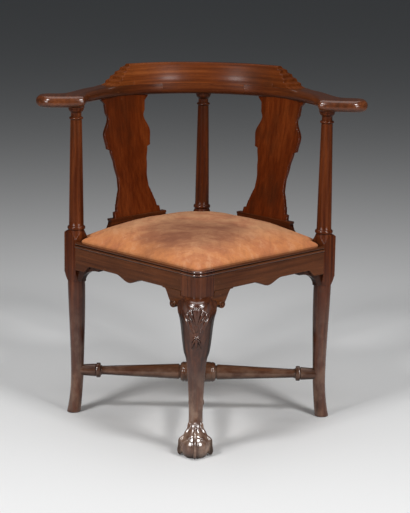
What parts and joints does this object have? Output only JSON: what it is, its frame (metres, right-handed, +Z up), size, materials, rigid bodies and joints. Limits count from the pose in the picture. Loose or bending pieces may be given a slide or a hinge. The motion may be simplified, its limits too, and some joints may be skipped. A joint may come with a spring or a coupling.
{
  "type": "corner armchair",
  "caption": "Square-seated corner armchair with a horseshoe arm, stepped crest, shaped splats, a cabriole front leg with claw-and-ball foot, and a lift-out leather seat",
  "frame": {"origin": "on the floor, under the middle of the bounding box", "axes": "+Z up, -Y to the front leg, +X to the right as seen from the front"},
  "size_m": [0.7626, 0.6667, 0.8113],
  "materials": {
    "mahogany": "waxed and polished, reddish brown",
    "beech": "bare, sawn and planed",
    "iron": "dark, oiled",
    "jute": "woven strap",
    "hessian": "open weave",
    "stuffing": "hair under calico",
    "leather": "worn tan, low sheen"
  },
  "bodies": {
    "frame": {"front_leg": "mahogany", "left_post": "mahogany", "right_post": "mahogany", "rear_post": "mahogany", "front_left_rail": "mahogany", "front_right_rail": "mahogany", "rear_left_rail": "mahogany", "rear_right_rail": "mahogany", "knee_bracket_left": "mahogany", "knee_bracket_right": "mahogany", "left_spandrel_bracket": "mahogany", "right_spandrel_bracket": "mahogany", "left_splat_shoe": "mahogany", "right_splat_shoe": "mahogany", "left_splat": "mahogany", "right_splat": "mahogany", "left_arm": "mahogany", "right_arm": "mahogany", "arm_back": "mahogany", "crest_rail": "mahogany", "cross_stretcher": "mahogany", "front_stretcher": "mahogany", "rear_stretcher": "mahogany", "left_corner_block": "beech", "right_corner_block": "beech", "rear_corner_block": "beech", "front_corner_block": "beech", "left_rear_crest_screw": "iron", "left_side_crest_screw": "iron", "right_rear_crest_screw": "iron", "right_side_crest_screw": "iron"},
    "drop_in_seat": {"seat_rail_front_left": "beech", "seat_rail_front_right": "beech", "seat_rail_rear_left": "beech", "seat_rail_rear_right": "beech", "webbing": "jute", "base_cloth": "hessian", "stuffing_pad": "stuffing", "leather_cover": "leather"}
  },
  "joints": [
    {"name": "seat_lift", "type": "slide", "parent": "frame", "child": "drop_in_seat", "axis": [0, 0, 1], "range_m": [0, 0.14]}
  ]
}
